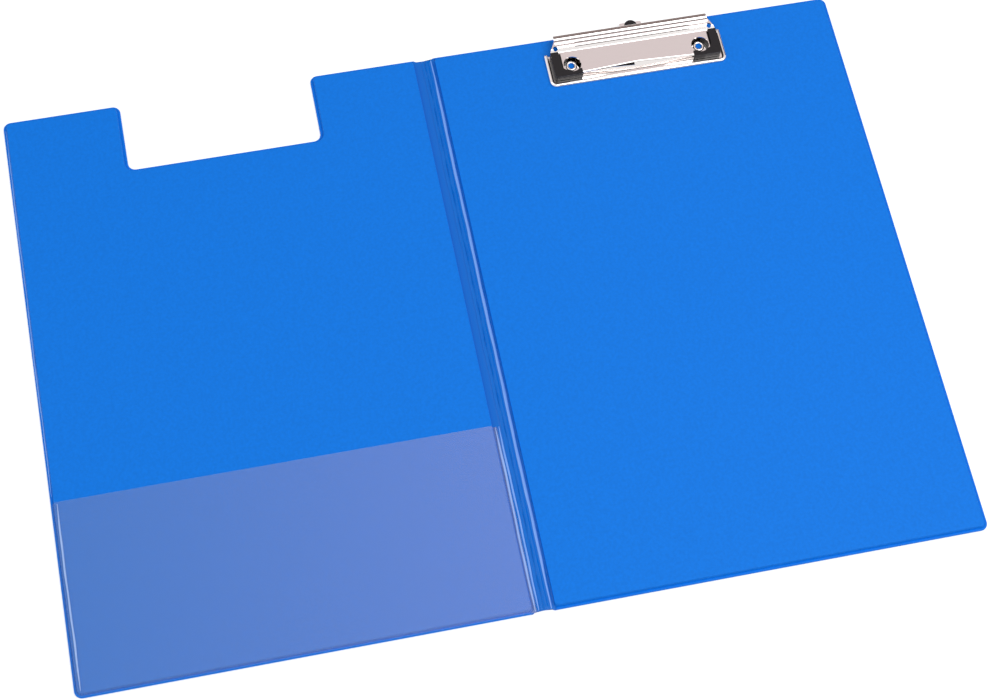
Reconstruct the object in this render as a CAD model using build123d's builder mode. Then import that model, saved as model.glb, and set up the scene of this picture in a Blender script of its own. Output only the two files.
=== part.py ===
from build123d import *
from math import atan2, degrees
import os

# An A4 fold-over clipboard folder, lying open with its inner side up. Two greyboards are sealed
# between PVC sheets, welded round each board and along the two creases of the spine. The back
# panel, on the right, carries the lever clip, and the front cover, on the left, has a clear pocket
# and a notch that lets the clip through when the folder is shut.
# X runs across the open folder from the middle of the spine, Y along the spine towards the clip
# and Z upwards from the underside. Sizes are in millimetres.

# Folder
folder_height = 320.0
panel_width = 225.0
spine_width = 10.0
sheet_thickness = 0.4
board_thickness = 2.0
weld_margin = 2.2
drape_run = 1.2
board_clearance = 0.4
drape_radius = 0.5
outline_radius = 4.0
crease_clearance = 0.15
bulge_width = 4.6
bulge_height = 0.5

# Notch in the front cover
notch_width = 104.0
notch_depth = 40.0
notch_floor_radius = 4.0

# Pocket of clear film on the front cover
pocket_height = 100.0
film_thickness = 0.2
pocket_gap = 0.3
flange_margin = 0.6
flange_width = 1.2
film_run = 1.3

# Clip base: a pressed tray with a rounded bead on three sides
clip_from_spine = 115.4
base_width = 100.0
base_front = 31.8
base_side_end = 12.2
base_rear = 3.0
base_thickness = 0.8
bead_width = 2.4
bead_height = 2.0
bead_corner_radius = 2.6

# Lever, with its ends and its front edge set in from those of the base
shoulder_inset = 3.1
bar_inset = 3.5
front_inset = 1.5
waist_gap = 1.0
waist_cover = 0.5
lip_inset = 4.1
lip_gap = 0.3
lip_run = 0.4
peak_run = 2.2
chevron_cover = 0.5
lever_thickness = 0.8
plate_height = 5.0
shoulder_rear = 12.8
shoulder_depth = 1.0
bar_front = 6.4
rise_reach = 12.9
ridges_reach = 11.2
ridges_height = 6.3
crown_reach = 5.15
crown_height = 7.2
slope_reach = 3.0
slope_height = 6.4
hem_reach = 2.2
hem_height = 5.0
bend_radius = 0.9
valley_count = 3
ridge_pitch = 2.3
ridge_depth = 0.35
groove_length = 11.0
groove_radius = 0.45
groove_depth = 0.5
window_inset = 3.3
window_reach = 10.9
window_radius = 1.3
access_radius = 4.9
access_shift = 1.4

# Pivot
pin_reach = 7.0
pin_height = 3.45
pin_radius = 1.2
pin_fit = 0.05
pin_head_radius = 1.8
pin_head_height = 0.7
ear_thickness = 0.8
ear_radius = 2.4
cheek_radius = 2.4
cheek_inset = 1.6
cheek_gap = 0.3
head_gap = 0.15

# Torsion springs
wire_radius = 0.45
coil_clearance = 0.2
coil_turns = 5.5
coil_pitch = 1.4
coil_inset = 3.0
leg_length = 1.5

# Rivets
rivet_side_inset = 13.8
rivet_front_inset = 11.8
rivet_bore_radius = 1.7
rivet_shank_radius = 2.3
rivet_head_radius = 3.2
rivet_head_height = 0.7
rivet_rim_drop = 0.35
rivet_tail_thickness = 0.6
rivet_clearance = 0.05

# Corner pads
pad_bar_length = 15.4
pad_leg_width = 4.5
pad_bar_depth = 3.2
pad_wall = 0.4
pad_crown = 0.6
pad_seat_depth = 2.6
pad_corner_radius = 1.5
pad_inner_radius = 4.0
pad_cut_radius = 4.7

# Hanging tab, a strip with a crosspiece at its inner end, in a stepped guide under the clip base
tab_offset = 1.9
tab_width = 12.4
tab_thickness = 0.9
tab_lift = 0.1
tab_end = 1.8
tab_foot_width = 16.0
tab_foot_length = 2.0
tab_travel = 9.8
tab_stop_gap = 0.2
tab_eye_radius = 2.5
tab_eye_from_end = 6.3
tab_corner_radius = 0.8
tab_clearance = 0.25
guide_step_reach = 10.0
guide_wall = 0.8
grip_overhang = 3.0
grip_radius = 3.6
grip_depth = 3.6
grip_height = 1.7
grip_drop = 0.7
grip_edge_radius = 0.5

# Levels and lines that follow from the sizes
crease_x = spine_width / 2
crease_z = sheet_thickness
rim_z = crease_z + sheet_thickness
board_top_z = crease_z + board_thickness
panel_top_z = board_top_z + sheet_thickness
panel_y = -grip_overhang / 2
top_edge_y = panel_y + folder_height / 2
bottom_edge_y = panel_y - folder_height / 2
pocket_top_y = bottom_edge_y + pocket_height
lip_height = base_thickness + lip_gap
lip_reach = base_front - lip_inset
shoulder_half_width = base_width / 2 - shoulder_inset
bar_half_width = shoulder_half_width - bar_inset
front_half_width = shoulder_half_width - front_inset
pad_end_half_width = shoulder_half_width - pad_bar_length
pad_leg_inner = shoulder_half_width - pad_leg_width
pad_bar_front = lip_reach + pad_wall
pad_bar_rear = pad_bar_front - pad_bar_depth
waist_half_width = pad_leg_inner - waist_gap
chevron_half_width = pad_end_half_width + chevron_cover
rivet_half_spacing = base_width / 2 - rivet_side_inset
rivet_reach = base_front - rivet_front_inset
access_reach = rivet_reach + access_shift
cheek_outer = bar_half_width - cheek_inset
cheek_inner = cheek_outer - lever_thickness
ear_outer = cheek_inner - cheek_gap
ear_inner = ear_outer - ear_thickness
guide_roof_z = tab_lift + tab_thickness + tab_lift
guide_top = guide_roof_z + base_thickness
tab_foot_front = guide_step_reach + tab_stop_gap + tab_travel + tab_foot_length


def clip_plan(height):
    """The level plane at a height above the board, centred on the clip, with the board's edge at 0."""
    return Plane(origin=(clip_from_spine, top_edge_y, panel_top_z + height))


def clip_side(offset_across):
    """The upright plane along the clip's depth: its first axis runs rearwards, its second up."""
    return Plane(
        origin=(clip_from_spine + offset_across, top_edge_y, panel_top_z),
        x_dir=(0, 1, 0),
        z_dir=(1, 0, 0),
    )


def draw_panel(side, inset):
    """Draws a panel's outline in by inset; side is 1 for the back panel and -1 for the notched cover."""
    near_x = crease_x + crease_clearance + inset
    far_x = crease_x + panel_width - inset
    with Locations((side * (near_x + far_x) / 2, panel_y)):
        Rectangle(far_x - near_x, folder_height - 2 * inset)
    if side < 0:
        floor_y = top_edge_y - notch_depth - inset
        with Locations((-clip_from_spine, floor_y)):
            Rectangle(
                notch_width + 2 * inset,
                notch_depth + 1,
                align=(Align.CENTER, Align.MIN),
                mode=Mode.SUBTRACT,
            )
        floor_corners = vertices().filter_by_position(Axis.Y, floor_y - 0.1, floor_y + 0.1)
        fillet(floor_corners, notch_floor_radius + inset)
        mouth_corners = vertices().group_by(Axis.Y)[-1].sort_by(Axis.X)[1:3]
        fillet(mouth_corners, outline_radius - inset)
    by_distance = vertices().group_by(Axis.X)
    free_corners = by_distance[-1] if side > 0 else by_distance[0]
    fillet(free_corners, outline_radius - inset)
    if inset > 0:
        by_distance = vertices().group_by(Axis.X)
        crease_corners = by_distance[0] if side > 0 else by_distance[-1]
        fillet(crease_corners, outline_radius - inset)


def bevel_crease_edge(edge_x, inward, far_z):
    """Cuts an edge along a crease to 45 degrees, from the crease's own level to far_z."""
    slope = abs(far_z - crease_z)
    corners = [
        (edge_x - inward, crease_z),
        (edge_x, crease_z),
        (edge_x + inward * slope, far_z),
        (edge_x - inward, far_z),
    ]
    with BuildSketch(Plane.XZ) as wedge:
        with BuildLine():
            Polyline(*corners, close=True)
        make_face()
    extrude(wedge.sketch, amount=folder_height, both=True, mode=Mode.SUBTRACT)


def make_outer_sheet(side):
    """The sheet under a panel: flat, and bevelled along the crease."""
    with BuildPart() as sheet:
        with BuildSketch():
            draw_panel(side, 0)
        extrude(amount=sheet_thickness)
        bevel_crease_edge(side * (crease_x + crease_clearance), side, 0)
    return sheet.part


def make_inner_sheet(side):
    """The sheet over a panel: welded down round the edge and draped over the board."""
    with BuildPart() as sheet:
        with BuildSketch(Plane.XY.offset(crease_z)):
            draw_panel(side, 0)
        extrude(amount=sheet_thickness)
        bevel_crease_edge(side * (crease_x + crease_clearance), side, rim_z)
        with BuildSketch(Plane.XY.offset(rim_z)):
            draw_panel(side, weld_margin)
        with BuildSketch(Plane.XY.offset(panel_top_z)):
            draw_panel(side, weld_margin + drape_run)
        loft(ruled=True)
        fillet(faces().sort_by(Axis.Z)[-1].edges(), drape_radius)
        with BuildSketch(Plane.XY.offset(crease_z)):
            draw_panel(side, weld_margin + drape_run + board_clearance)
        extrude(amount=board_thickness, mode=Mode.SUBTRACT)
    return sheet.part


def make_board(side):
    """The greyboard inside a panel, filling the space that the two sheets leave."""
    with BuildPart() as board:
        with BuildSketch(Plane.XY.offset(crease_z)):
            draw_panel(side, weld_margin + drape_run + board_clearance)
        extrude(amount=board_thickness)
    return board.part


# Back panel: the sheet under it stays whole, so it closes the bores of the rivets
with BuildPart() as back_outer_sheet:
    add(make_outer_sheet(1))

with BuildPart() as back_inner_sheet:
    add(make_inner_sheet(1))
    with Locations(clip_plan(0)):
        with Locations((-rivet_half_spacing, -rivet_reach), (rivet_half_spacing, -rivet_reach)):
            Hole(rivet_shank_radius + rivet_clearance, depth=folder_height)

with BuildPart() as back_board:
    add(make_board(1))
    board_underside = Plane(
        origin=(clip_from_spine, top_edge_y, crease_z), x_dir=(1, 0, 0), z_dir=(0, 0, -1)
    )
    with Locations(board_underside):
        with Locations((-rivet_half_spacing, rivet_reach), (rivet_half_spacing, rivet_reach)):
            CounterBoreHole(
                rivet_shank_radius + rivet_clearance,
                rivet_head_radius + rivet_clearance,
                rivet_tail_thickness + rivet_clearance,
            )

# Front cover
with BuildPart() as cover_outer_sheet:
    add(make_outer_sheet(-1))

with BuildPart() as cover_inner_sheet:
    add(make_inner_sheet(-1))

with BuildPart() as cover_board:
    add(make_board(-1))


def draw_pocket(inset):
    """Draws the pocket's outline, past its mouth, in by inset from the cover's edges."""
    near_x = crease_x + crease_clearance + inset
    far_x = crease_x + panel_width - inset
    with Locations((-(near_x + far_x) / 2, bottom_edge_y + inset)):
        Rectangle(far_x - near_x, pocket_height + outline_radius, align=(Align.CENTER, Align.MIN))
    fillet(vertices().group_by(Axis.Y)[0], outline_radius - inset)


# Pocket film: welded flat along three edges, open along the fourth
film_foot = flange_margin + flange_width
with BuildPart() as pocket_film:
    with BuildSketch(Plane.XY.offset(rim_z)):
        draw_pocket(film_foot)
    with BuildSketch(Plane.XY.offset(panel_top_z + pocket_gap + film_thickness)):
        draw_pocket(film_foot + film_run)
    loft(ruled=True)
    with BuildSketch(Plane.XY.offset(rim_z)):
        draw_pocket(flange_margin)
    extrude(amount=film_thickness)
    with BuildSketch(Plane.XY.offset(rim_z)):
        draw_pocket(film_foot + film_thickness)
    with BuildSketch(Plane.XY.offset(panel_top_z + pocket_gap)):
        draw_pocket(film_foot + film_run + film_thickness)
    loft(ruled=True, mode=Mode.SUBTRACT)
    split(bisect_by=Plane.XZ.offset(-pocket_top_y), keep=Keep.TOP)

# Spine: a flat strip outside, and a strip inside that swells between its two weld lines
strip_half_width = crease_x - crease_clearance
with BuildPart() as spine_outer_strip:
    with BuildSketch():
        with Locations((0, panel_y)):
            Rectangle(2 * strip_half_width, folder_height)
    extrude(amount=sheet_thickness)
    for side in (-1, 1):
        bevel_crease_edge(side * strip_half_width, -side, 0)

with BuildPart() as spine_inner_strip:
    with BuildSketch(Plane.XZ.offset(-panel_y)):
        with BuildLine():
            Polyline(
                (-bulge_width / 2, rim_z),
                (-strip_half_width, rim_z),
                (-strip_half_width, crease_z),
                (strip_half_width, crease_z),
                (strip_half_width, rim_z),
                (bulge_width / 2, rim_z),
            )
            ThreePointArc((bulge_width / 2, rim_z), (0, rim_z + bulge_height), (-bulge_width / 2, rim_z))
        make_face()
    extrude(amount=folder_height / 2, both=True)
    for side in (-1, 1):
        bevel_crease_edge(side * strip_half_width, -side, rim_z)

# Clip base
bead_line = base_width / 2 - bead_width / 2
bead_front = base_front - bead_width / 2
with BuildPart() as clip_base:
    with BuildSketch(clip_plan(0)):
        with Locations((0, -base_side_end)):
            Rectangle(2 * bead_line, bead_front - base_side_end, align=(Align.CENTER, Align.MAX))
        with Locations((0, -base_rear)):
            Rectangle(2 * ear_outer, base_side_end - base_rear + 1, align=(Align.CENTER, Align.MAX))
        with Locations((-bead_line, -bead_front), (bead_line, -bead_front)):
            Rectangle(bead_corner_radius, bead_corner_radius, mode=Mode.SUBTRACT)
    extrude(amount=base_thickness)
    # The bead runs down one side, round the front and back up the other
    with BuildLine(clip_plan(0)) as bead_path:
        FilletPolyline(
            (-bead_line, -base_side_end),
            (-bead_line, -bead_front),
            (bead_line, -bead_front),
            (bead_line, -base_side_end),
            radius=bead_corner_radius,
        )
    with BuildSketch(Plane(origin=bead_path.line @ 0, x_dir=(1, 0, 0), z_dir=(0, -1, 0))):
        with BuildLine():
            Polyline(
                (-bead_width / 2, base_thickness),
                (-bead_width / 2, 0),
                (bead_width / 2, 0),
                (bead_width / 2, base_thickness),
            )
            ThreePointArc(
                (bead_width / 2, base_thickness), (0, bead_height), (-bead_width / 2, base_thickness)
            )
        make_face()
    sweep(path=bead_path.line)
    # Each end of the bead closes in a dome
    for side in (-1, 1):
        bead_end = Plane(
            origin=(clip_from_spine + side * bead_line, top_edge_y - base_side_end, panel_top_z),
            x_dir=(1, 0, 0),
            z_dir=(0, -1, 0),
        )
        with BuildSketch(bead_end):
            with BuildLine():
                Polyline((0, bead_height), (0, 0), (bead_width / 2, 0), (bead_width / 2, base_thickness))
                RadiusArc((bead_width / 2, base_thickness), (0, bead_height), -bead_width / 2)
            make_face()
        revolve(axis=Axis(bead_end.origin, (0, 0, 1)))
    # The guide for the hanging tab is raised out of the floor, wide inside and narrow at its mouth
    guide_inside = tab_foot_front + tab_clearance
    for half_width, front in (
        (tab_foot_width / 2 + tab_clearance, guide_inside),
        (tab_width / 2 + tab_clearance, guide_step_reach),
    ):
        with BuildSketch(clip_plan(0)):
            with Locations((tab_offset, -base_rear)):
                Rectangle(
                    2 * (half_width + guide_wall),
                    front + guide_wall - base_rear,
                    align=(Align.CENTER, Align.MAX),
                )
        extrude(amount=guide_top)
    with BuildSketch(clip_plan(0)):
        with Locations((tab_offset, -guide_step_reach)):
            Rectangle(
                tab_foot_width + 2 * tab_clearance,
                guide_inside - guide_step_reach,
                align=(Align.CENTER, Align.MAX),
            )
        with Locations((tab_offset, 0)):
            Rectangle(
                tab_width + 2 * tab_clearance,
                guide_step_reach + 1,
                align=(Align.CENTER, Align.MAX),
            )
    extrude(amount=guide_roof_z, mode=Mode.SUBTRACT)
    # Two ears stand up from the floor and hold the pin
    for start in (-ear_outer, ear_inner):
        with BuildSketch(clip_side(start)):
            with Locations((-pin_reach, 0)):
                Rectangle(2 * ear_radius, pin_height, align=(Align.CENTER, Align.MIN))
            with Locations((-pin_reach, pin_height)):
                Circle(ear_radius)
                Circle(pin_radius, mode=Mode.SUBTRACT)
        extrude(amount=ear_thickness)
    with Locations(clip_plan(base_thickness)):
        with Locations((-rivet_half_spacing, -rivet_reach), (rivet_half_spacing, -rivet_reach)):
            Hole(rivet_shank_radius + rivet_clearance, depth=base_thickness)

# Rivets: tubular, with a rolled head on the clip base and a flared tail under the greyboard
rivet_seat_z = panel_top_z + base_thickness
with BuildPart() as clip_rivets:
    rivet_plane = Plane(
        origin=(clip_from_spine + rivet_half_spacing, top_edge_y - rivet_reach, 0),
        x_dir=(1, 0, 0),
        z_dir=(0, -1, 0),
    )
    with BuildSketch(rivet_plane):
        with BuildLine():
            Polyline(
                (rivet_bore_radius, rivet_seat_z + rivet_rim_drop),
                (rivet_bore_radius, crease_z),
                (rivet_head_radius, crease_z),
                (rivet_head_radius, crease_z + rivet_tail_thickness),
                (rivet_shank_radius, crease_z + rivet_tail_thickness),
                (rivet_shank_radius, rivet_seat_z),
                (rivet_head_radius, rivet_seat_z),
            )
            ThreePointArc(
                (rivet_head_radius, rivet_seat_z),
                ((rivet_bore_radius + rivet_head_radius) / 2, rivet_seat_z + rivet_head_height),
                (rivet_bore_radius, rivet_seat_z + rivet_rim_drop),
            )
        make_face()
    revolve(axis=Axis(rivet_plane.origin, (0, 0, 1)))
    mirror(about=Plane.YZ.offset(clip_from_spine))


def draw_lever_section(run):
    """Draws the bent sheet of the lever, front lip to rear hem; run is how far the lip slants out."""
    with BuildLine() as bent_sheet:
        FilletPolyline(
            (-lip_reach, lip_height),
            (run - lip_reach, plate_height),
            (-rise_reach, plate_height),
            (-ridges_reach, ridges_height),
            (-crown_reach, crown_height),
            (-slope_reach, slope_height),
            (-hem_reach, hem_height),
            radius=bend_radius,
        )
        offset(amount=lever_thickness, side=Side.RIGHT)
    make_face(bent_sheet.edges())


# Lever: one bent plate whose lip slants back to a peak in the middle of the clip
with BuildPart() as clip_lever:
    for across, run in (
        (-shoulder_half_width, lip_run),
        (-chevron_half_width, lip_run),
        (0, peak_run),
        (chevron_half_width, lip_run),
        (shoulder_half_width, lip_run),
    ):
        with BuildSketch(clip_side(across)):
            draw_lever_section(run)
    loft(ruled=True)
    # The plate is trimmed to its plan, narrow between the pads and at the rear bar
    waist_front = pad_bar_rear + waist_cover
    shoulder_front = shoulder_rear + shoulder_depth
    with BuildSketch(clip_plan(lip_height)):
        with BuildLine():
            Polyline(
                (0, -base_front),
                (front_half_width, -base_front),
                (front_half_width, -waist_front),
                (waist_half_width, -waist_front),
                (waist_half_width, -shoulder_front),
                (shoulder_half_width, -shoulder_front),
                (shoulder_half_width, -shoulder_rear),
                (bar_half_width, -bar_front),
                (bar_half_width, 0),
                (0, 0),
            )
            mirror(about=Plane.YZ)
        make_face()
    extrude(amount=crown_height, mode=Mode.INTERSECT)
    # Ridges run along the rear bar, down its slope, with sharp valleys between them
    ridge_radius = ((ridge_pitch / 2) ** 2 + ridge_depth**2) / (2 * ridge_depth)
    bar_slope = degrees(atan2(crown_height - ridges_height, ridges_reach - crown_reach))
    bar_top = Location((-crown_reach, crown_height, 0), (0, 0, bar_slope))
    with BuildSketch(clip_side(-bar_half_width)):
        with Locations(bar_top):
            with Locations((-valley_count * ridge_pitch / 2, -2 * ridge_depth)):
                Rectangle(
                    valley_count * ridge_pitch,
                    3 * ridge_depth,
                    align=(Align.CENTER, Align.MIN),
                )
            for ridge in range(valley_count + 1):
                with Locations((-ridge * ridge_pitch, -ridge_radius)):
                    Circle(ridge_radius, mode=Mode.SUBTRACT)
    extrude(amount=2 * bar_half_width, mode=Mode.SUBTRACT)
    # The two front valleys deepen into a groove at each end of the bar
    for start in (-bar_half_width, bar_half_width - groove_length):
        with BuildSketch(clip_side(start)):
            with Locations(bar_top):
                for valley in range(1, valley_count):
                    with Locations((-(valley + 0.5) * ridge_pitch, groove_radius - groove_depth)):
                        Circle(groove_radius)
        extrude(amount=groove_length, mode=Mode.SUBTRACT)
    # Cheeks stand under the bar, near its ends, and swing on the pin
    for start in (-cheek_outer, cheek_inner):
        with BuildSketch(clip_side(start)):
            with Locations((-pin_reach, pin_height)):
                Circle(cheek_radius)
                Rectangle(
                    2 * cheek_radius,
                    slope_height - lever_thickness - pin_height + bend_radius / 2,
                    align=(Align.CENTER, Align.MIN),
                )
        extrude(amount=lever_thickness)
    with BuildSketch(clip_side(-cheek_outer)):
        with Locations((-pin_reach, pin_height)):
            Circle(pin_radius + pin_fit)
    extrude(amount=2 * cheek_outer, mode=Mode.SUBTRACT)
    # Openings over the rivets, and relief windows where the shoulders meet the bar
    with BuildSketch(clip_plan(0)):
        with Locations((-rivet_half_spacing, -access_reach), (rivet_half_spacing, -access_reach)):
            Circle(access_radius)
        window_across = shoulder_half_width - window_inset
        with Locations((-window_across, -window_reach), (window_across, -window_reach)):
            Circle(window_radius)
    extrude(amount=crown_height + 1, mode=Mode.SUBTRACT)

# Pivot pin: through both cheeks and both ears, with a head at each end
with BuildPart() as pivot_pin:
    pin_half_length = cheek_outer + head_gap + pin_head_height
    with BuildSketch(clip_side(-pin_half_length)):
        with Locations((-pin_reach, pin_height)):
            Circle(pin_radius)
    extrude(amount=2 * pin_half_length)
    for start in (-pin_half_length, cheek_outer + head_gap):
        with BuildSketch(clip_side(start)):
            with Locations((-pin_reach, pin_height)):
                Circle(pin_head_radius)
        extrude(amount=pin_head_height)
    rims = edges().filter_by(GeomType.CIRCLE).group_by(Axis.X)
    fillet(rims[0] + rims[-1], pin_head_height / 2)


# Torsion springs: a coil round the pin, with one leg on the floor and one up under the bar
coil_radius = pin_radius + coil_clearance + wire_radius
coil_length = coil_turns * coil_pitch
points_per_turn = 40
leg_steps = 10

with BuildPart() as spring_left:
    coil_axis = clip_side(coil_inset - ear_inner).from_local_coords((-pin_reach, pin_height, 0))
    with BuildLine() as coil:
        Helix(
            pitch=coil_pitch,
            height=coil_length,
            radius=coil_radius,
            center=coil_axis,
            direction=(1, 0, 0),
        )
    with BuildSketch(Plane(origin=coil.line @ 0, z_dir=coil.line % 0)):
        Circle(wire_radius)
    sweep(path=coil.line, is_frenet=True)
    # Both legs point rearwards: the upper one level, the lower one down to the floor
    coil_start = coil.line @ 0
    coil_finish = coil.line @ 1
    upper_leg = Vector(0, leg_length, 0)
    lower_leg = Vector(0, leg_length, panel_top_z + base_thickness + wire_radius - coil_finish.Z)
    for leg_start, leg in ((coil_start, upper_leg), (coil_finish, lower_leg)):
        with BuildSketch(Plane(origin=leg_start, z_dir=leg)):
            Circle(wire_radius)
        extrude(amount=leg.length)

# The least gap of the wire to itself, on points along both legs and the coil, half a turn or more apart
coil_steps = int(coil_turns * points_per_turn)
wire_points = [coil_start + upper_leg * (step / leg_steps) for step in range(leg_steps, 0, -1)]
wire_points += [coil.line @ (step / coil_steps) for step in range(coil_steps + 1)]
wire_points += [coil_finish + lower_leg * (step / leg_steps) for step in range(1, leg_steps + 1)]
spring_gap = min(
    (wire_points[first] - wire_points[second]).length - 2 * wire_radius
    for first in range(len(wire_points))
    for second in range(first + points_per_turn // 2, len(wire_points))
)
print(f"Least gap between the turns of a spring: {spring_gap:.2f} mm")

with BuildPart() as spring_right:
    mirror(spring_left.part, about=Plane.YZ.offset(clip_from_spine))


def make_pad(side):
    """An L-shaped corner pad, slotted over the lever's front corner and cut round the rivet."""
    with BuildPart() as pad:
        with BuildSketch(clip_plan(lip_height)):
            with BuildLine():
                Polyline(
                    (side * pad_end_half_width, -pad_bar_front),
                    (side * shoulder_half_width, -pad_bar_front),
                    (side * shoulder_half_width, -shoulder_rear),
                    (side * pad_leg_inner, -shoulder_rear),
                    (side * pad_leg_inner, -pad_bar_rear),
                    (side * pad_end_half_width, -pad_bar_rear),
                    close=True,
                )
            make_face()
            outer = vertices().group_by(Axis.Y)[0].sort_by(Axis.X)[-1 if side > 0 else 0]
            fillet(outer, pad_corner_radius)
            inner = vertices().sort_by_distance((side * pad_leg_inner, -pad_bar_rear))[0]
            fillet(inner, pad_inner_radius)
        extrude(amount=plate_height + pad_crown - lip_height)
        # A seat reaches in under the edge of the plate
        with BuildSketch(clip_plan(lip_height)):
            with Locations((side * (waist_half_width - pad_seat_depth / 2), -shoulder_rear)):
                Rectangle(
                    pad_seat_depth + 2 * waist_gap,
                    pad_bar_rear - shoulder_rear,
                    align=(Align.CENTER, Align.MAX),
                )
        extrude(amount=plate_height - lever_thickness - lip_height)
        with BuildSketch(clip_plan(0)):
            with Locations((side * rivet_half_spacing, -access_reach)):
                Circle(pad_cut_radius)
        extrude(amount=crown_height, mode=Mode.SUBTRACT)
        add(clip_lever.part, mode=Mode.SUBTRACT)
    return pad.part


with BuildPart() as pad_left:
    add(make_pad(-1))

with BuildPart() as pad_right:
    add(make_pad(1))

# Hanging tab
with BuildPart() as hanging_tab:
    with BuildSketch(clip_plan(tab_lift)):
        with Locations((tab_offset, tab_end)):
            Rectangle(tab_width, tab_end + tab_foot_front, align=(Align.CENTER, Align.MAX))
            fillet(vertices().group_by(Axis.Y)[-1], tab_corner_radius)
        with Locations((tab_offset, -tab_foot_front)):
            Rectangle(tab_foot_width, tab_foot_length, align=(Align.CENTER, Align.MIN))
        with Locations((tab_offset, tab_end - tab_eye_from_end)):
            Circle(tab_eye_radius, mode=Mode.SUBTRACT)
    extrude(amount=tab_thickness)

# Grip on the end of the tab: a half-moon to pull it out by
with BuildPart() as tab_grip:
    with BuildSketch(clip_plan(-grip_drop)):
        with Locations((tab_offset, grip_overhang - grip_radius)):
            Circle(grip_radius)
        with Locations((tab_offset, grip_overhang - grip_depth)):
            Rectangle(
                3 * grip_radius,
                3 * grip_radius,
                align=(Align.CENTER, Align.MAX),
                mode=Mode.SUBTRACT,
            )
    extrude(amount=grip_drop + grip_height)
    fillet(edges().group_by(Axis.Z)[-1], grip_edge_radius)
    add(hanging_tab.part, mode=Mode.SUBTRACT)

parts = {
    "back_outer_sheet": back_outer_sheet,
    "back_inner_sheet": back_inner_sheet,
    "back_board": back_board,
    "cover_outer_sheet": cover_outer_sheet,
    "cover_inner_sheet": cover_inner_sheet,
    "cover_board": cover_board,
    "pocket_film": pocket_film,
    "spine_outer_strip": spine_outer_strip,
    "spine_inner_strip": spine_inner_strip,
    "clip_base": clip_base,
    "clip_rivets": clip_rivets,
    "clip_lever": clip_lever,
    "pad_left": pad_left,
    "pad_right": pad_right,
    "pivot_pin": pivot_pin,
    "spring_left": spring_left,
    "spring_right": spring_right,
    "hanging_tab": hanging_tab,
    "tab_grip": tab_grip,
}
os.makedirs("parts", exist_ok=True)
for label, piece in parts.items():
    piece.part.label = label
    export_step(piece.part, f"parts/{label}.step")
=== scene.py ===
import math

import bmesh
import bpy
import numpy as np
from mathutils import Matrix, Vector


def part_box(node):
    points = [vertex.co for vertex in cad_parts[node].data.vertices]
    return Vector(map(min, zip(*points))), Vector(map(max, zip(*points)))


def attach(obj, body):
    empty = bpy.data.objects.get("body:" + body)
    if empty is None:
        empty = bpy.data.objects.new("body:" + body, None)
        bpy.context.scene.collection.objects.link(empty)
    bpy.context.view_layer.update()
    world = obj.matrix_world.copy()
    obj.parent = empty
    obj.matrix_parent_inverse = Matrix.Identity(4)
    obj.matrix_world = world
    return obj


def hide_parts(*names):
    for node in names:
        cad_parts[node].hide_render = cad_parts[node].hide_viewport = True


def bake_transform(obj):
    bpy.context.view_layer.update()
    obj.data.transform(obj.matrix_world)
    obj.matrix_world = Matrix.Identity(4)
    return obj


bl_info = {
    "name": "Clipboard folder",
    "version": (1, 0, 0),
    "blender": (4, 5, 0),
    "location": "3D View > Sidebar > Folder",
    "description": "Dresses the solids of a fold-over clipboard folder in PVC, film, plate and plastic",
    "category": "Object",
}

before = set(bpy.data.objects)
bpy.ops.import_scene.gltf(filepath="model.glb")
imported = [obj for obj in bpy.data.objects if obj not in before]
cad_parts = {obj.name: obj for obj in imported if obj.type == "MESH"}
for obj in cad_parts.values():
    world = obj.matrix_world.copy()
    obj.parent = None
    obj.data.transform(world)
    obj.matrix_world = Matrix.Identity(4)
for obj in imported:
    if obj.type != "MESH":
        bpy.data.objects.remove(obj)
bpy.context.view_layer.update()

MM = 0.001


def linear(colour):
    """The linear RGBA of an sRGB hex value such as #1D76DE."""
    parts = np.array([int(colour[place:place + 2], 16) for place in (1, 3, 5)]) / 255
    low = parts / 12.92
    high = ((parts + 0.055) / 1.055) ** 2.4
    return (*np.where(parts <= 0.04045, low, high).tolist(), 1.0)


# Levels and edges of the solids
(BACK_NEAR, EDGE_FRONT, _), (BACK_FAR, EDGE_REAR, _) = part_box("back_outer_sheet")
BOARD_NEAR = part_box("back_board")[0][0]
BOARD_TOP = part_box("back_board")[1][2]
PANEL_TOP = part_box("back_inner_sheet")[1][2]
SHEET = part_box("back_outer_sheet")[1][2]
RIM_TOP = 2 * SHEET
FILM_LOW, FILM_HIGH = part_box("pocket_film")
CLIP_MIDDLE = (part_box("clip_base")[0][0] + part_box("clip_base")[1][0]) / 2
FILM_OVER_SPINE = -3.2 * MM

# Radius in millimetres of the film's lower corner at the cover's free side
FILM_CORNER = 3.4


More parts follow.
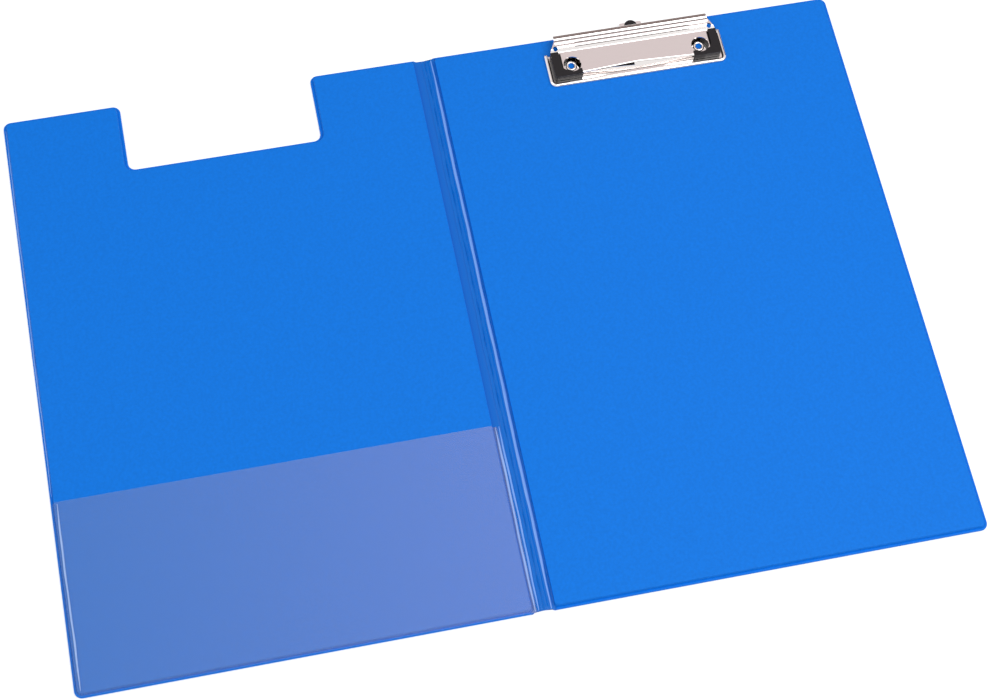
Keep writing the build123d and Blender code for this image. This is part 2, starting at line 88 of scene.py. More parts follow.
class FolderSizes(bpy.types.PropertyGroup):
    """Sizes of the welded PVC work."""

    corner_radius: bpy.props.FloatProperty(
        name="Corner radius",
        description="Radius of the panels' outer corners",
        default=4 * MM,
        unit="LENGTH",
    )
    weld_margin: bpy.props.FloatProperty(
        name="Weld margin",
        description="Width of the flat welded edge round each board",
        default=1.2 * MM,
        unit="LENGTH",
    )
    drape_run: bpy.props.FloatProperty(
        name="Drape run",
        description="Width over which the sheet climbs from the weld to the top of the board",
        default=0.9 * MM,
        unit="LENGTH",
    )
    notch_width: bpy.props.FloatProperty(
        name="Notch width",
        description="Width of the cover's notch",
        default=104 * MM,
        unit="LENGTH",
    )
    notch_depth: bpy.props.FloatProperty(
        name="Notch depth",
        description="Depth of the cover's notch",
        default=40 * MM,
        unit="LENGTH",
    )
    crease_reach: bpy.props.FloatProperty(
        name="Crease reach",
        description="How far the spine's skins run from its middle, up to the outer sheets",
        default=6.3 * MM,
        unit="LENGTH",
    )
    near_radius: bpy.props.FloatProperty(
        name="Radius at the spine",
        description="Radius of the panels' corners beside the spine",
        default=1.6 * MM,
        unit="LENGTH",
    )
    film_bow: bpy.props.FloatProperty(
        name="Film bow",
        description="How far the pocket film lifts off the cover in its middle",
        default=0.25 * MM,
        unit="LENGTH",
    )


class FolderColours(bpy.types.PropertyGroup):
    """Colours of the folder's finishes."""

    pvc: bpy.props.FloatVectorProperty(
        name="PVC sheet",
        description="Colour of the soft PVC sheet",
        default=linear("#0775DE"),
        size=4,
        subtype="COLOR",
    )
    # Pale colour of the film's weld beads: a painted highlight of the glossy bead.
    film_bead_highlight_colour: bpy.props.FloatVectorProperty(
        name="Pressed film",
        description="Colour of the film where the die has pressed it to a milky bead",
        default=linear("#93B4EC"),
        size=4,
        subtype="COLOR",
    )
    # Pale colour of the spine's and rim's beads: a painted highlight of the glossy ridges.
    bead_highlight_colour: bpy.props.FloatVectorProperty(
        name="Whitened PVC",
        description="Colour of the PVC where the die has stretched it along a crease",
        default=linear("#6FA2EE"),
        size=4,
        subtype="COLOR",
    )
    film: bpy.props.FloatVectorProperty(
        name="Clear film",
        description="Colour of the haze in the clear film at the cover's free side",
        default=linear("#9AA6AC"),
        size=4,
        subtype="COLOR",
    )
    # Haze colour beside the spine, paler than at the free side: a painted reflection of the bright lamp on
    # the film.
    film_painted_sheen: bpy.props.FloatVectorProperty(
        name="Clear film at the spine",
        description="Colour of the haze in the clear film beside the spine",
        default=linear("#CFC6CE"),
        size=4,
        subtype="COLOR",
    )
    plate: bpy.props.FloatVectorProperty(
        name="Nickel plate",
        description="Colour that the nickel plate gives its reflections",
        default=linear("#EDE8E6"),
        size=4,
        subtype="COLOR",
    )
    black: bpy.props.FloatVectorProperty(
        name="Black plastic",
        description="Colour of the moulded pads and grip",
        default=linear("#1C191C"),
        size=4,
        subtype="COLOR",
    )
    wire: bpy.props.FloatVectorProperty(
        name="Spring wire",
        description="Colour of the drawn spring wire",
        default=linear("#A8A29C"),
        size=4,
        subtype="COLOR",
    )
    board: bpy.props.FloatVectorProperty(
        name="Greyboard",
        description="Colour of the board sealed in each panel",
        default=linear("#A0968A"),
        size=4,
        subtype="COLOR",
    )


class StageSettings(bpy.types.PropertyGroup):
    """Light and ground of the stage."""

    world_level: bpy.props.FloatProperty(
        name="World level",
        description="Strength of the even light from all round",
        default=0.53,
        min=0,
    )
    key_power: bpy.props.FloatProperty(
        name="Key power",
        description="Power of the large lamp on the clip's side",
        default=9.8,
        min=0,
        subtype="POWER",
    )
    fill_power: bpy.props.FloatProperty(
        name="Fill power",
        description="Power of the lamp on the cover's side",
        default=3,
        min=0,
        subtype="POWER",
    )
    floor: bpy.props.FloatVectorProperty(
        name="Floor",
        description="Colour of the floor",
        default=linear("#F4F4F4"),
        size=4,
        subtype="COLOR",
    )


def add_node(material, kind, settings=None, **links):
    """Adds a node, sets its attributes or its sockets by name, and links sockets to it."""
    tree = material.node_tree
    node = tree.nodes.new(kind)
    for name, value in (settings or {}).items():
        if name in node.inputs:
            node.inputs[name].default_value = value
        else:
            setattr(node, name, value)
    for name, socket in links.items():
        target = next(put for put in node.inputs if put.name.replace(" ", "_") == name)
        tree.links.new(socket, target)
    return node


def new_material(name):
    """An empty node material and its output node."""
    material = bpy.data.materials.new(name)
    material.use_nodes = True
    material.node_tree.nodes.clear()
    output = add_node(material, "ShaderNodeOutputMaterial")
    return material, output


def grain_bump(material, scale_mm, distance_mm, strength, detail=2.0):
    """Normals bumped by noise whose features are scale_mm across and distance_mm deep."""
    place = add_node(material, "ShaderNodeTexCoord")
    noise = add_node(
        material,
        "ShaderNodeTexNoise",
        {"Scale": 1 / (scale_mm * MM), "Detail": detail, "Roughness": 0.55},
        Vector=place.outputs["Object"],
    )
    return add_node(
        material,
        "ShaderNodeBump",
        {"Strength": strength, "Distance": distance_mm * MM},
        Height=noise.outputs["Fac"],
    )


def make_matte_pvc(colours):
    """Calendered soft PVC sheet: a fine matte emboss spreads the highlight and mottles the blue.

    The real emboss is finer than a pixel, so the bump and the mottle are drawn coarser to show.
    """
    material, output = new_material("calendered_pvc_sheet")
    bump = grain_bump(material, 0.9, 0.05, 0.5)
    place = add_node(material, "ShaderNodeTexCoord")
    mottle = add_node(
        material,
        "ShaderNodeTexNoise",
        {"Scale": 1 / (1.6 * MM), "Detail": 2.0},
        Vector=place.outputs["Object"],
    )
    tint = add_node(material, "ShaderNodeMix", {"data_type": "RGBA"})
    tint.inputs[6].default_value = tuple(0.87 * part for part in colours.pvc[:3]) + (1,)
    tint.inputs[7].default_value = tuple(1.13 * part for part in colours.pvc[:3]) + (1,)
    material.node_tree.links.new(mottle.outputs["Fac"], tint.inputs[0])
    shader = add_node(
        material,
        "ShaderNodeBsdfPrincipled",
        {"Roughness": 0.5, "IOR": 1.53, "Specular IOR Level": 0.1},
        Base_Color=tint.outputs[2],
        Normal=bump.outputs["Normal"],
    )
    material.node_tree.links.new(shader.outputs[0], output.inputs["Surface"])
    return material


def make_welded_pvc(colours):
    """PVC pressed by the welding die: the emboss is melted flat, so it is glossier; its colour is painted a
    shade deeper as painted shade of the spine's trough.
    """
    material, output = new_material("die_welded_pvc")
    bump = grain_bump(material, 2.5, 0.08, 0.35)
    shader = add_node(
        material,
        "ShaderNodeBsdfPrincipled",
        {"Roughness": 0.16, "IOR": 1.53, "Specular IOR Level": 0.18},
        Normal=bump.outputs["Normal"],
    )
    # 0.82 of the sheet's colour: painted shade of the spine's trough.
    shader.inputs["Base Color"].default_value = tuple(0.82 * part for part in colours.pvc[:3]) + (1,)
    material.node_tree.links.new(shader.outputs[0], output.inputs["Surface"])
    return material


def make_film(colours):
    """Blown clear PVC film: a milky haze over what lies under it, with a soft gloss on top.

    The haze is painted paler towards the spine: a painted reflection of the bright lamp on the film.
    """
    material, output = new_material("clear_pvc_film")
    bump = grain_bump(material, 14, 0.25, 0.25, detail=1.0)
    place = add_node(material, "ShaderNodeTexCoord")
    parts = add_node(material, "ShaderNodeSeparateXYZ", Vector=place.outputs["Object"])
    share = add_node(
        material,
        "ShaderNodeMapRange",
        {"From Min": -BACK_FAR, "From Max": -BACK_NEAR},
        Value=parts.outputs["X"],
    )
    # The haze is painted paler towards the spine, as a painted reflection of the bright lamp.
    haze = add_node(material, "ShaderNodeMix", {"data_type": "RGBA"})
    haze.inputs[6].default_value = tuple(colours.film)
    haze.inputs[7].default_value = tuple(colours.film_painted_sheen)
    material.node_tree.links.new(share.outputs[0], haze.inputs[0])
    shader = add_node(
        material,
        "ShaderNodeBsdfPrincipled",
        {"Roughness": 0.16, "IOR": 1.53, "Alpha": 0.112},
        Base_Color=haze.outputs[2],
        Normal=bump.outputs["Normal"],
    )
    material.node_tree.links.new(shader.outputs[0], output.inputs["Surface"])
    return material


def make_film_bead_painted_highlight(colours):
    """Clear film squeezed into a bead by the die, glossy on top, and painted pale: the pale colour is a
    painted highlight of the bead.
    """
    material, output = new_material("die_pressed_film")
    bump = grain_bump(material, 1.8, 0.1, 0.4)
    # The pale base colour is a painted highlight of the bead.
    shader = add_node(
        material,
        "ShaderNodeBsdfPrincipled",
        {"Base Color": tuple(colours.film_bead_highlight_colour), "Roughness": 0.18, "IOR": 1.53},
        Normal=bump.outputs["Normal"],
    )
    material.node_tree.links.new(shader.outputs[0], output.inputs["Surface"])
    return material


def make_pvc_bead_painted_highlight(colours):
    """PVC bead along a crease, glossy from the die, and painted pale: the pale colour is a painted
    highlight of the ridge.
    """
    material, output = new_material("stress_whitened_pvc")
    bump = grain_bump(material, 1.8, 0.1, 0.4)
    # The pale base colour is a painted highlight of the glossy ridge.
    shader = add_node(
        material,
        "ShaderNodeBsdfPrincipled",
        {"Base Color": tuple(colours.bead_highlight_colour), "Roughness": 0.2, "IOR": 1.53},
        Normal=bump.outputs["Normal"],
    )
    material.node_tree.links.new(shader.outputs[0], output.inputs["Surface"])
    return material


def make_plate(colours):
    """Bright nickel plate on rolled steel: near mirror, with faint rolling lines along the clip."""
    material, output = new_material("bright_nickel_plate")
    place = add_node(material, "ShaderNodeTexCoord")
    stretch = add_node(
        material,
        "ShaderNodeMapping",
        {"Scale": (0.02, 1.0, 1.0)},
        Vector=place.outputs["Object"],
    )
    lines = add_node(
        material,
        "ShaderNodeTexNoise",
        {"Scale": 1 / (0.35 * MM), "Detail": 3.0},
        Vector=stretch.outputs[0],
    )
    bump = add_node(
        material,
        "ShaderNodeBump",
        {"Strength": 0.08, "Distance": 0.02 * MM},
        Height=lines.outputs["Fac"],
    )
    shader = add_node(
        material,
        "ShaderNodeBsdfPrincipled",
        {"Base Color": tuple(colours.plate), "Metallic": 1.0, "Roughness": 0.09},
        Normal=bump.outputs["Normal"],
    )
    material.node_tree.links.new(shader.outputs[0], output.inputs["Surface"])
    return material


def make_black(colours):
    """Injection-moulded black plastic with a fine spark-eroded texture, so its gloss is broken up."""
    material, output = new_material("moulded_black_plastic")
    bump = grain_bump(material, 0.25, 0.03, 0.4)
    shader = add_node(
        material,
        "ShaderNodeBsdfPrincipled",
        {
            "Base Color": tuple(colours.black),
            "Roughness": 0.42,
            "IOR": 1.5,
            "Specular IOR Level": 0.3,
        },
        Normal=bump.outputs["Normal"],
    )
    material.node_tree.links.new(shader.outputs[0], output.inputs["Surface"])
    return material


def make_wire(colours):
    """Cold-drawn spring wire: dull metal with fine drawing marks."""
    material, output = new_material("drawn_spring_wire")
    bump = grain_bump(material, 0.12, 0.02, 0.3)
    shader = add_node(
        material,
        "ShaderNodeBsdfPrincipled",
        {"Base Color": tuple(colours.wire), "Metallic": 1.0, "Roughness": 0.32},
        Normal=bump.outputs["Normal"],
    )
    material.node_tree.links.new(shader.outputs[0], output.inputs["Surface"])
    return material


def make_board(colours):
    """Pressed greyboard: matte paper fibre, seen only where a panel is cut open."""
    material, output = new_material("pressed_greyboard")
    bump = grain_bump(material, 0.6, 0.08, 0.5, detail=4.0)
    shader = add_node(
        material,
        "ShaderNodeBsdfPrincipled",
        {"Base Color": tuple(colours.board), "Roughness": 0.9, "IOR": 1.45},
        Normal=bump.outputs["Normal"],
    )
    material.node_tree.links.new(shader.outputs[0], output.inputs["Surface"])
    return material


MAKERS = {
    "calendered_pvc_sheet": make_matte_pvc,
    "die_welded_pvc": make_welded_pvc,
    "clear_pvc_film": make_film,
    "die_pressed_film": make_film_bead_painted_highlight,
    "stress_whitened_pvc": make_pvc_bead_painted_highlight,
    "bright_nickel_plate": make_plate,
    "moulded_black_plastic": make_black,
    "drawn_spring_wire": make_wire,
    "pressed_greyboard": make_board,
}


def material_named(name):
    """The named finish, made the first time it is asked for."""
    made = bpy.data.materials.get(name)
    return made or MAKERS[name](bpy.context.scene.folder_colours)


def new_piece(name, points, faces, finish, crisp=35):
    """A mesh object of points and faces, smooth but for edges sharper than crisp degrees."""
    mesh = bpy.data.meshes.new(name)
    mesh.from_pydata(np.asarray(points).reshape(-1, 3), [], faces)
    mesh.materials.append(material_named(finish))
    work = bmesh.new()
    work.from_mesh(mesh)
    bmesh.ops.recalc_face_normals(work, faces=work.faces)
    work.to_mesh(mesh)
    work.free()
    mesh.shade_smooth()
    mesh.set_sharp_from_angle(angle=math.radians(crisp))
    piece = bpy.data.objects.new(name, mesh)
    bpy.context.scene.collection.objects.link(piece)
    return piece


def loop_faces(rows, columns, closed_rows=False):
    """Quads of a grid whose columns close on themselves, and the two end faces unless rows close too."""
    index = np.arange(rows * columns).reshape(rows, columns)
    across = np.roll(index, -1, axis=1)
    if closed_rows:
        nearer, further = index, np.roll(index, -1, axis=0)
        far_across = np.roll(across, -1, axis=0)
    else:
        nearer, further = index[:-1], index[1:]
        across, far_across = across[:-1], across[1:]
    quads = np.stack([nearer, across, far_across, further], axis=-1).reshape(-1, 4).tolist()
    if not closed_rows:
        quads += [index[0][::-1].tolist(), index[-1].tolist()]
    return quads


def smooth_step(value):
    """0 below 0, 1 above 1, and 3t^2 - 2t^3 between."""
    share = np.clip(value, 0, 1)
    return share * share * (3 - 2 * share)


ARC = 10


def corner_arc(corner_x, corner_y, to_x, to_y, inset, radius, turn):
    """Points of one corner of an outline, moved in by inset.

    The corner's centre lies back from it by its own radius along (to_x, to_y). A point is the centre
    plus the radius along a direction that swings through a quarter turn. turn is 1 where the outline
    bends round the panel and -1 where it bends into the notch, where the radius grows with inset.
    """
    least = 0.15 * MM
    live = np.maximum(radius - turn * inset, least)
    back = live + turn * inset
    centre = np.array([corner_x + to_x * back, corner_y + to_y * back])
    start = math.atan2(-to_y, -to_x) - turn * math.pi / 4
    angle = start + turn * np.linspace(0, math.pi / 2, ARC)
    return centre + live * np.stack([np.cos(angle), np.sin(angle)], axis=1)


def panel_outline(side, inset, near, rounded_near, sizes):
    """One closed outline of a panel, moved in by inset from its free edges and cut at near by the spine."""
    radius = sizes.corner_radius
    low, high, far = EDGE_FRONT, EDGE_REAR, BACK_FAR
    if rounded_near:
        near_low = corner_arc(near - inset, low, 1, 1, inset, sizes.near_radius + inset, 1)
        near_high = corner_arc(near - inset, high, 1, -1, inset, sizes.near_radius + inset, 1)
    else:
        near_low = np.array([[near, low + inset]])
        near_high = np.array([[near, high - inset]])
    far_low = corner_arc(far, low, -1, 1, inset, radius, 1)
    far_high = corner_arc(far, high, -1, -1, inset, radius, 1)
    chain = [near_low, far_low, far_high]
    if side < 0:
        left, right = (CLIP_MIDDLE + half * sizes.notch_width / 2 for half in (1, -1))
        floor = high - sizes.notch_depth
        chain += [
            corner_arc(left, high, 1, -1, inset, radius, 1),
            corner_arc(left, floor, -1, 1, inset, radius, -1),
            corner_arc(right, floor, 1, 1, inset, radius, -1),
            corner_arc(right, high, -1, -1, inset, radius, 1),
        ]
    chain.append(near_high)
    outline = np.concatenate(chain)
    outline[:, 0] *= side
    return outline


def panel_rings(side, steps, near_of, rounded_near, sizes):
    """Outlines stacked into a surface: each step gives the inset and the height of one outline."""
    rings = []
    for inset, height in steps:
        flat = panel_outline(side, inset, near_of(inset), rounded_near, sizes)
        rings.append(np.column_stack([flat, np.full(len(flat), height)]))
    return np.stack(rings)


PANELS = {"back": (1, "back_panel"), "cover": (-1, "front_cover")}


def make_pan(which):
    """The outer sheet and the welded edge of a panel.

    Outlines of the panel, each in by an inset and at a height, are stacked: under the panel, round
    its cut edge, over the bead that the weld squeezes out, down into the die line and inwards.
    """
    side, body = PANELS[which]
    sizes = bpy.context.scene.folder_sizes
    steps = np.array(
        [
            (6.0, 0.0), (0.5, 0.0), (0.2, 0.05), (0.05, 0.18), (0.0, 0.38), (0.0, 0.5),
            (0.06, 0.7), (0.22, 0.85), (0.5, 0.93), (0.9, 0.93), (1.25, 0.84), (1.5, 0.68),
            (1.75, 0.6), (2.05, 0.62), (3.3, 0.62), (3.5, 0.4), (6.0, 0.4),
        ]
    ) * MM
    rings = panel_rings(side, steps, lambda inset: sizes.crease_reach, False, sizes)
    piece = new_piece(f"{which}_welded_edge", rings, loop_faces(*rings.shape[:2]), "calendered_pvc_sheet")
    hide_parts(f"{which}_outer_sheet")
    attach(piece, body)


def make_drape(which):
    """The inner sheet of a panel, draped over its board.

    Stacked outlines again: the inner face of the sheet, its foot in the weld, then a rise of
    3t^2 - 2t^3 over the drape's run and the flat top. Beside the spine the rise is short and steep.
    """
    side, body = PANELS[which]
    sizes = bpy.context.scene.folder_sizes
    share = np.linspace(0, 1, 12)
    foot = 0.78 * MM
    rise = np.column_stack(
        [
            sizes.weld_margin + sizes.drape_run * share,
            foot + (PANEL_TOP - foot) * smooth_step(share),
        ]
    )
    board_edge = BOARD_NEAR - BACK_NEAR
    inner_top = BOARD_TOP + 0.02 * MM
    steps = np.concatenate(
        [
            [(9 * MM, inner_top), (board_edge + 0.3 * MM, inner_top)],
            [(board_edge - 0.05 * MM, inner_top - 0.05 * MM), (board_edge - 0.1 * MM, RIM_TOP)],
            [(sizes.weld_margin + 0.1 * MM, 0.5 * MM), (sizes.weld_margin - 0.1 * MM, 0.52 * MM)],
            rise,
            [(sizes.weld_margin + sizes.drape_run + 0.5 * MM, PANEL_TOP), (9 * MM, PANEL_TOP)],
        ]
    )
    rise_end = sizes.weld_margin + sizes.drape_run
    insets = (sizes.weld_margin - 0.1 * MM, sizes.weld_margin, rise_end, 9 * MM)
    at_spine = (0.5 * MM, 0.55 * MM, 0.85 * MM, 9 * MM)
    rings = panel_rings(
        side,
        steps,
        lambda inset: BACK_NEAR + np.interp(inset, insets, at_spine),
        True,
        sizes,
    )
    piece = new_piece(f"{which}_draped_sheet", rings, loop_faces(*rings.shape[:2]), "calendered_pvc_sheet")
    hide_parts(f"{which}_inner_sheet")
    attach(piece, body)


def bell(across, middle, width, height):
    """A rounded ridge: height times exp(-((across - middle) / width)^2), all in millimetres."""
    return height * np.exp(-(((across - middle) / width) ** 2))


def spine_top(across, along):
    """Height of the spine's inner skin in millimetres, at across from its middle.

    The sheet's level, a broad swell of the middle, and bells for the ridges and die lines beside
    each crease. A slow wave along the spine keeps the lines from being ruled.
    """
    wander = 0.12 * np.sin(along / 17) + 0.09 * np.sin(along / 5.3 + 1) + 0.05 * np.sin(along / 1.9)
    level = 0.6 + bell(across, 1.2, 2.9, 0.42)
    level = level + bell(across, -3.3, 1.2, -0.16) + bell(across, -1.25 + wander, 0.4, 0.28)
    level = level + bell(across, 0.45 + wander, 0.27, 0.42 + 0.14 * np.sin(along / 2.7))
    level = level + bell(across, 1.7 - wander, 0.25, 0.14) + bell(across, 2.75, 0.4, -0.3)
    return level + bell(across, 4.1, 0.8, -0.15) + bell(across, 5.2, 0.45, -0.2)


def drawn_in(across):
    """The share of the panels' length that the sheet keeps at across, as the die draws the spine in."""
    return 1 - 0.006 * smooth_step((5.6 - np.abs(across)) / 1.8)


def make_spine_skin(which):
    """Half of the spine with the crease at its side.

    A closed section, the top of spine_top and a flat underside, is carried along the spine. Its
    ends are drawn in a little, as the cut edge of the sheet is.
    """
    side, body = PANELS[which]
    sizes = bpy.context.scene.folder_sizes
    reach = sizes.crease_reach / MM
    across = np.linspace(0, reach, 76)
    low, high = EDGE_FRONT / MM, EDGE_REAR / MM
    along = np.concatenate(
        [
            [low, low + 0.15, low + 0.5],
            np.linspace(low + 1.5, high - 1.5, 420),
            [high - 0.5, high - 0.15, high],
        ]
    )
    from_end = np.minimum(along - low, high - along)
    fall = 1 - 0.75 * (1 - smooth_step(from_end / 0.8))
    grid_along, grid_across = np.meshgrid(along, side * across, indexing="ij")
    top = spine_top(grid_across, grid_along)
    fade = smooth_step((reach - np.abs(grid_across)) / 0.6)
    top = 0.62 + (top - 0.62) * fade
    top = 0.4 + (top - 0.4) * fall[:, None]
    upper = np.stack([grid_across, grid_along * drawn_in(grid_across), top], axis=-1)
    under_across = side * np.array([reach, 5.5, 4.5, 3.5, 0.0])
    under = np.zeros((len(along), len(under_across), 3))
    under[..., 0] = under_across
    under[..., 1] = along[:, None] * drawn_in(under_across)
    under[..., 2] = 0.15 * (1 - fall[:, None])
    section = np.concatenate([upper, under], axis=1) * MM
    piece = new_piece(f"{which}_spine_skin", section, loop_faces(*section.shape[:2]), "die_welded_pvc")
    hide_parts("spine_inner_strip", "spine_outer_strip")
    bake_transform(piece)


def film_height(x, y, left, low, sizes):
    """Height of the pocket film in millimetres.

    Over the cover it is the weld's level plus a rise of 3t^2 - 2t^3 over the film's run, plus a
    shallow bow of sines, one long crease and a few fading wrinkles near the lower corner. At the
    spine it drops over the panel's edge and follows the spine's skin.
    """
    flat_level, top_level = 0.98, PANEL_TOP / MM + 0.5
    to_side, to_low = x - left, y - low
    inner_x = np.clip(FILM_CORNER - to_side, 0, None)
    inner_y = np.clip(FILM_CORNER - to_low, 0, None)
    in_corner = (inner_x > 0) & (inner_y > 0)
    from_corner = FILM_CORNER - np.hypot(inner_x, inner_y)
    distance = np.where(in_corner, from_corner, np.minimum(to_side, to_low))
    height = flat_level + (top_level - flat_level) * smooth_step((distance - 0.45) / 0.9)
    width, rise = -left, FILM_HIGH[1] / MM - low
    bow = np.sin(np.pi * np.clip(to_side / width, 0, 1)) * np.clip(to_low / rise, 0, 1)
    height = height + sizes.film_bow / MM * bow * smooth_step((distance - 3) / 25)
    arc = np.hypot((x + 186) / 1.9, y + 170) - 23.6
    along_arc = np.exp(-(((x + 190) / 26) ** 2))
    crease = 0.3 * (smooth_step(arc / 1.2 + 0.5) - smooth_step(arc / 9 + 0.5)) * along_arc
    near = np.exp(-(((to_side - 30) / 26) ** 2) - ((to_low - 9) / 7) ** 2)
    ripple = 0.1 * near * np.sin(np.hypot(to_side + 5, to_low - 40) / 2.4)
    height = height + (crease + ripple) * smooth_step((distance - 2.5) / 4)
    over_spine = spine_top(x, y) + 0.14
    return height + (over_spine - height) * smooth_step((x + 6.3) / 1.1)


def make_film_sheet():
    """The pocket film, a thin closed shell from the cover's weld to past the crease."""
    sizes = bpy.context.scene.folder_sizes
    left, low = FILM_LOW[0] / MM, FILM_LOW[1] / MM
    right, high = FILM_OVER_SPINE / MM, FILM_HIGH[1] / MM
    edge = np.array(
        [
            0, 0.15, 0.3, 0.45, 0.6, 0.75, 0.9, 1.05, 1.2,
            1.35, 1.5, 1.8, 2.2, 2.6, 3.0, 3.4, 4, 5.5,
        ]
    )
    across = np.concatenate(
        [left + edge, np.linspace(left + 7, -8, 220), np.linspace(-7.3, right, 74)]
    )
    up = np.concatenate([edge, np.linspace(7, high - low, 120)])
    x, v = np.meshgrid(across, up, indexing="xy")
    short = np.clip(FILM_CORNER - v, 0, FILM_CORNER)
    pull = FILM_CORNER - np.sqrt(np.clip(FILM_CORNER**2 - short**2, 0, None))
    x = x + pull * (right - x) / (right - left)
    y = low + v
    upper = np.stack([x, y, film_height(x, y, left, low, sizes)], axis=-1)
    lower = upper - np.array([0, 0, 0.14])
    rows, columns = x.shape
    points = np.concatenate([upper.reshape(-1, 3), lower.reshape(-1, 3)]) * MM
    index = np.arange(rows * columns).reshape(rows, columns)
    quads = np.stack([index[:-1, :-1], index[:-1, 1:], index[1:, 1:], index[1:, :-1]], axis=-1)
    quads = quads.reshape(-1, 4)
    border = np.concatenate([index[0, :-1], index[:-1, -1], index[-1, :0:-1], index[:0:-1, 0]])
    after = np.roll(border, -1)
    under = rows * columns
    walls = np.stack([border, after, after + under, border + under], axis=-1)
    faces = np.concatenate([quads, quads[:, ::-1] + under, walls]).tolist()
    piece = new_piece("pocket_film_sheet", points, faces, "clear_pvc_film")
    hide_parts("pocket_film")
    bend_with_cover(piece)


def bend_with_cover(piece):
    """Bakes into its mesh the transform of a piece that runs from the cover over its crease."""
    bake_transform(piece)


def beads(lines, level=0.95):
    """Points and faces of half-round beads that run along the folder.

    Each is a half ellipse carried from start to end, wandering a little across its line and tapered
    at both ends. It sits on the spine's skin, or at level where it lies outside the spine.
    """
    along = np.linspace(0, 1, 160)[:, None]
    angle = np.linspace(0, np.pi, 9)[None, :]
    sections, faces = [], []
    for middle, start, end, half, rise in lines:
        y = start + (end - start) * along + 0 * angle
        slim = np.clip(6 * np.minimum(along, 1 - along) + 0.35, 0, 1)
        slim = slim * (1 + 0.12 * np.sin(y / 4.1) * np.sin(y / 9.7))
        wander = 0.14 * np.sin(y / 13 + middle) + 0.06 * np.sin(y / 3.7)
        x = middle + wander + half * slim * np.cos(angle)
        base = np.where(np.abs(x) < 6, spine_top(x, y), level)
        points = np.stack([x, y, base + rise * slim * np.sin(angle)], axis=-1)
        offset = len(sections) * points[..., 0].size
        faces += [[corner + offset for corner in face] for face in loop_faces(*points.shape[:2])]
        sections.append(points.reshape(-1, 3))
    return np.concatenate(sections) * MM, faces


def make_film_beads():
    """The beads that the die squeezes up along the film's two side welds, painted pale as a painted
    highlight.
    """
    low, high = FILM_LOW[1] / MM, FILM_HIGH[1] / MM
    lines = [(-226.7, low + 2.5, high - 1, 0.48, 0.3), (-4.25, low + 0.6, high - 0.3, 0.65, 0.5)]
    piece = new_piece("pocket_weld_beads", *beads(lines, PANEL_TOP / MM + 0.45), "die_pressed_film")
    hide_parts("pocket_film")
    bend_with_cover(piece)


def make_spine_beads():
    """The beads of the spine, painted pale as a painted highlight: one beside the back panel's crease, one
    by the pocket.
    """
    low, high = EDGE_FRONT / MM + 1.2, EDGE_REAR / MM - 1.2
    lines = [(4.1, low, high, 0.8, 0.28), (-2.3, low, FILM_HIGH[1] / MM, 0.45, 0.12)]
    piece = new_piece("spine_weld_beads", *beads(lines), "stress_whitened_pvc")
    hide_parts("spine_inner_strip")
    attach(piece, "spine")


def make_rim_bead():
    """The bead along the rim of the cover's free side, painted pale as a painted highlight."""
    lines = [(1.1 - BACK_FAR / MM, FILM_HIGH[1] / MM + 4, EDGE_REAR / MM - 5, 0.4, 0.14)]
    piece = new_piece("cover_rim_bead", *beads(lines), "stress_whitened_pvc")
    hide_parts("cover_outer_sheet")
    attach(piece, "front_cover")


NODE_FINISHES = {
    "bright_nickel_plate": ("clip_base", "clip_rivets", "clip_lever", "pivot_pin", "hanging_tab"),
    "moulded_black_plastic": ("pad_left", "pad_right", "tab_grip"),
    "pressed_greyboard": ("back_board", "cover_board"),
}


def finish_nodes(finish):
    """Gives the solids of one finish their material."""
    for node in NODE_FINISHES[finish]:
        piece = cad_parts[node]
        piece.data.materials.clear()
        piece.data.materials.append(material_named(finish))


def make_spring(node):
    """The torsion spring as one skin, its doubled points merged."""
    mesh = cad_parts[node].data.copy()
    mesh.name = f"{node}_wire"
    work = bmesh.new()
    work.from_mesh(mesh)
    bmesh.ops.remove_doubles(work, verts=work.verts, dist=0.001 * MM)
    work.to_mesh(mesh)
    work.free()
    mesh.materials.clear()
    mesh.materials.append(material_named("drawn_spring_wire"))
    mesh.shade_smooth()
    piece = bpy.data.objects.new(mesh.name, mesh)
    bpy.context.scene.collection.objects.link(piece)
    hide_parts(node)
    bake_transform(piece)


def stage_plane(name, corners, material):
    """A flat quadrilateral of the stage."""
    mesh = bpy.data.meshes.new(name)
    mesh.from_pydata(corners, [], [(0, 1, 2, 3)])
    mesh.materials.append(material)
    plane = bpy.data.objects.new(name, mesh)
    bpy.context.scene.collection.objects.link(plane)
    return plane


def seen_share(material):
    """1 for rays from the camera, from a reflection or through glass, and 0 for light on its way."""
    ray = add_node(material, "ShaderNodeLightPath")
    glossy = add_node(material, "ShaderNodeMath", {"operation": "MAXIMUM"})
    either = add_node(material, "ShaderNodeMath", {"operation": "MAXIMUM"})
    tree = material.node_tree
    tree.links.new(ray.outputs["Is Glossy Ray"], glossy.inputs[0])
    tree.links.new(ray.outputs["Is Transmission Ray"], glossy.inputs[1])
    tree.links.new(ray.outputs["Is Camera Ray"], either.inputs[0])
    tree.links.new(glossy.outputs[0], either.inputs[1])
    return either.outputs[0]


def make_floor(settings):
    """Pale floor: white to the camera and to reflections, and matte under the object's shadow."""
    material, output = new_material("pale_floor")
    diffuse = add_node(material, "ShaderNodeBsdfDiffuse", {"Color": tuple(settings.floor)})
    glow = add_node(material, "ShaderNodeEmission", {"Color": (1, 1, 1, 1), "Strength": 0.3})
    lifted = add_node(material, "ShaderNodeAddShader")
    mix = add_node(material, "ShaderNodeMixShader")
    tree = material.node_tree
    tree.links.new(diffuse.outputs[0], lifted.inputs[0])
    tree.links.new(glow.outputs[0], lifted.inputs[1])
    tree.links.new(seen_share(material), mix.inputs[0])
    tree.links.new(diffuse.outputs[0], mix.inputs[1])
    tree.links.new(lifted.outputs[0], mix.inputs[2])
    tree.links.new(mix.outputs[0], output.inputs["Surface"])
    half, level = 3.0, -0.3 * MM
    corners = [(-half, -half, level), (half, -half, level), (half, half, level), (-half, half, level)]
    stage_plane("floor", corners, material)


